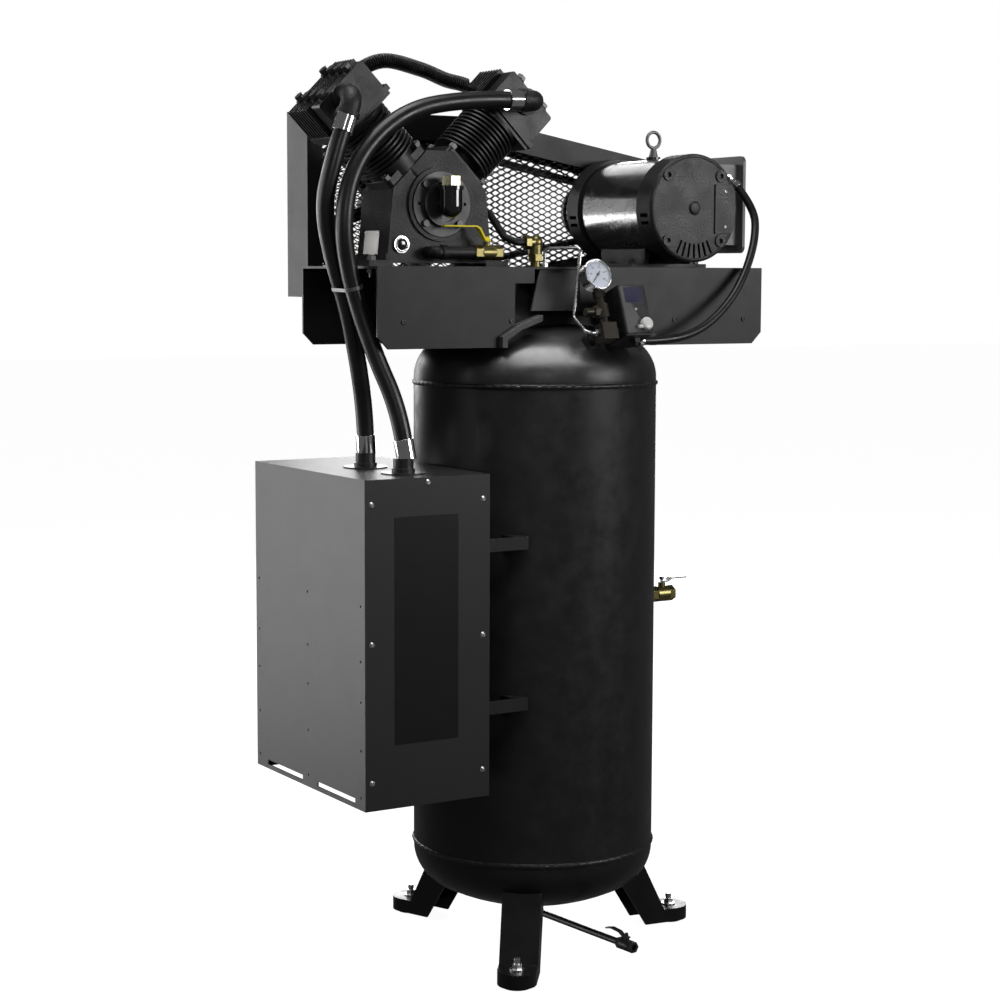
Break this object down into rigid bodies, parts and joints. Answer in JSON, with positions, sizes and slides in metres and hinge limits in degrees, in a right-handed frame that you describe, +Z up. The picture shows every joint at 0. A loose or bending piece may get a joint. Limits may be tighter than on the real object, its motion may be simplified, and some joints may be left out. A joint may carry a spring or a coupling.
{
  "type": "air compressor",
  "caption": "Vertical stationary air compressor: belt-driven V-twin piston pump and electric motor on a deck over an upright tank, with an intake silencer cabinet on the side.",
  "frame": {"origin": "The floor point under the tank, on the tank's vertical axis.", "axes": "+Z is up along the tank's axis. +X runs along the deck from the pump to the motor. +Y points to the belt guard at the back, so the silencer cabinet's hoses, the switch and the gauge are on the -Y side."},
  "size_m": [1.0294, 0.6818, 1.8587],
  "materials": {
    "tank_paint": "satin",
    "cabinet_paint": "satin",
    "pump_paint": "satin",
    "motor_paint": "gloss",
    "guard_paint": "satin",
    "cast_iron": "rough",
    "steel": "satin",
    "zinc": "satin",
    "chrome": "polished",
    "brass": "satin",
    "bronze": "satin",
    "hose_rubber": "satin",
    "belt_rubber": "matte",
    "pad_rubber": "matte",
    "black_plastic": "matte",
    "yellow_plastic": "gloss",
    "white_plastic": "gloss",
    "copper_winding": "satin",
    "filter_paper": "matte",
    "glass": "gloss",
    "needle_paint": "matte"
  },
  "bodies": {
    "compressor": {"tank_shell": "tank_paint", "tank_legs": "tank_paint", "foot_pads": "pad_rubber", "foot_studs": "zinc", "deck_plate": "tank_paint", "deck_saddle": "tank_paint", "crankcase": "pump_paint", "bearing_covers": "pump_paint", "valve_plates": "pump_paint", "cylinders": "pump_paint", "head_left": "pump_paint", "head_right": "pump_paint", "machine_bolts": "zinc", "pistons_rods": "cast_iron", "shaft_bearings": "steel", "v_belts": "belt_rubber", "intercooler_tube": "pump_paint", "discharge_tube": "pump_paint", "discharge_elbow": "brass", "oil_fill_cup": "pump_paint", "oil_fill_plug": "brass", "sight_glass": "chrome", "oil_drain_pipe": "pump_paint", "ball_valves": "brass", "drain_pipe": "steel", "drain_valve": "brass", "intake_elbows": "pump_paint", "intake_hose_right": "hose_rubber", "intake_hose_left": "hose_rubber", "hose_ferrules": "chrome", "hose_tie": "black_plastic", "silencer_ports": "pump_paint", "silencer_cabinet": "cabinet_paint", "silencer_cover": "cabinet_paint", "silencer_screws": "zinc", "filter_elements": "filter_paper", "silencer_arms": "tank_paint", "motor_shell": "motor_paint", "motor_end_bells": "motor_paint", "motor_base": "motor_paint", "motor_stator": "copper_winding", "lifting_eye": "cast_iron", "conduit_box": "motor_paint", "conduit_glands": "chrome", "motor_conduit": "hose_rubber", "switch_case": "black_plastic", "control_manifold": "bronze", "pressure_gauge": "chrome", "unloader_tube": "steel", "guard_frame": "guard_paint", "guard_mesh": "guard_paint"},
    "crank": {"crankshaft": "steel", "flywheel": "pump_paint"},
    "rotor": {"motor_rotor": "steel", "motor_pulley": "cast_iron"},
    "oil_lever": {"oil_drain_lever": "yellow_plastic"},
    "air_lever": {"outlet_lever": "steel"},
    "sump_lever": {"drain_lever": "steel"},
    "knob": {"switch_knob": "white_plastic"},
    "needle": {"gauge_needle": "needle_paint"}
  },
  "joints": [
    {"name": "crank_spin", "type": "hinge", "parent": "compressor", "child": "crank", "pos_m": [-0.256, 0, 1.557], "axis": [0, 1, 0], "continuous": true},
    {"name": "motor_spin", "type": "hinge", "parent": "compressor", "child": "rotor", "pos_m": [0.282, 0, 1.556], "axis": [0, 1, 0], "continuous": true},
    {"name": "oil_valve_turn", "type": "hinge", "parent": "compressor", "child": "oil_lever", "pos_m": [-0.165, -0.078, 1.461], "axis": [0, 0, 1], "range_deg": [0, 90]},
    {"name": "air_valve_turn", "type": "hinge", "parent": "compressor", "child": "air_lever", "pos_m": [0.332, 0, 0.721], "axis": [0, 0, 1], "range_deg": [0, 90]},
    {"name": "drain_valve_turn", "type": "hinge", "parent": "compressor", "child": "sump_lever", "pos_m": [0.03211, -0.31034, 0.06], "axis": [0, 0, 1], "range_deg": [0, 90]},
    {"name": "switch_knob_turn", "type": "hinge", "parent": "compressor", "child": "knob", "pos_m": [0.076, -0.29261, 1.31966], "axis": [0, 0.936, -0.352], "range_deg": [0, 90]},
    {"name": "gauge_needle_turn", "type": "hinge", "parent": "compressor", "child": "needle", "pos_m": [0, -0.23342, 1.41817], "axis": [0, 0.936, -0.352], "range_deg": [0, 264]}
  ],
  "couplings": [
    {"joint": "motor_spin", "follows": "crank_spin", "ratio": 2.8626}
  ]
}
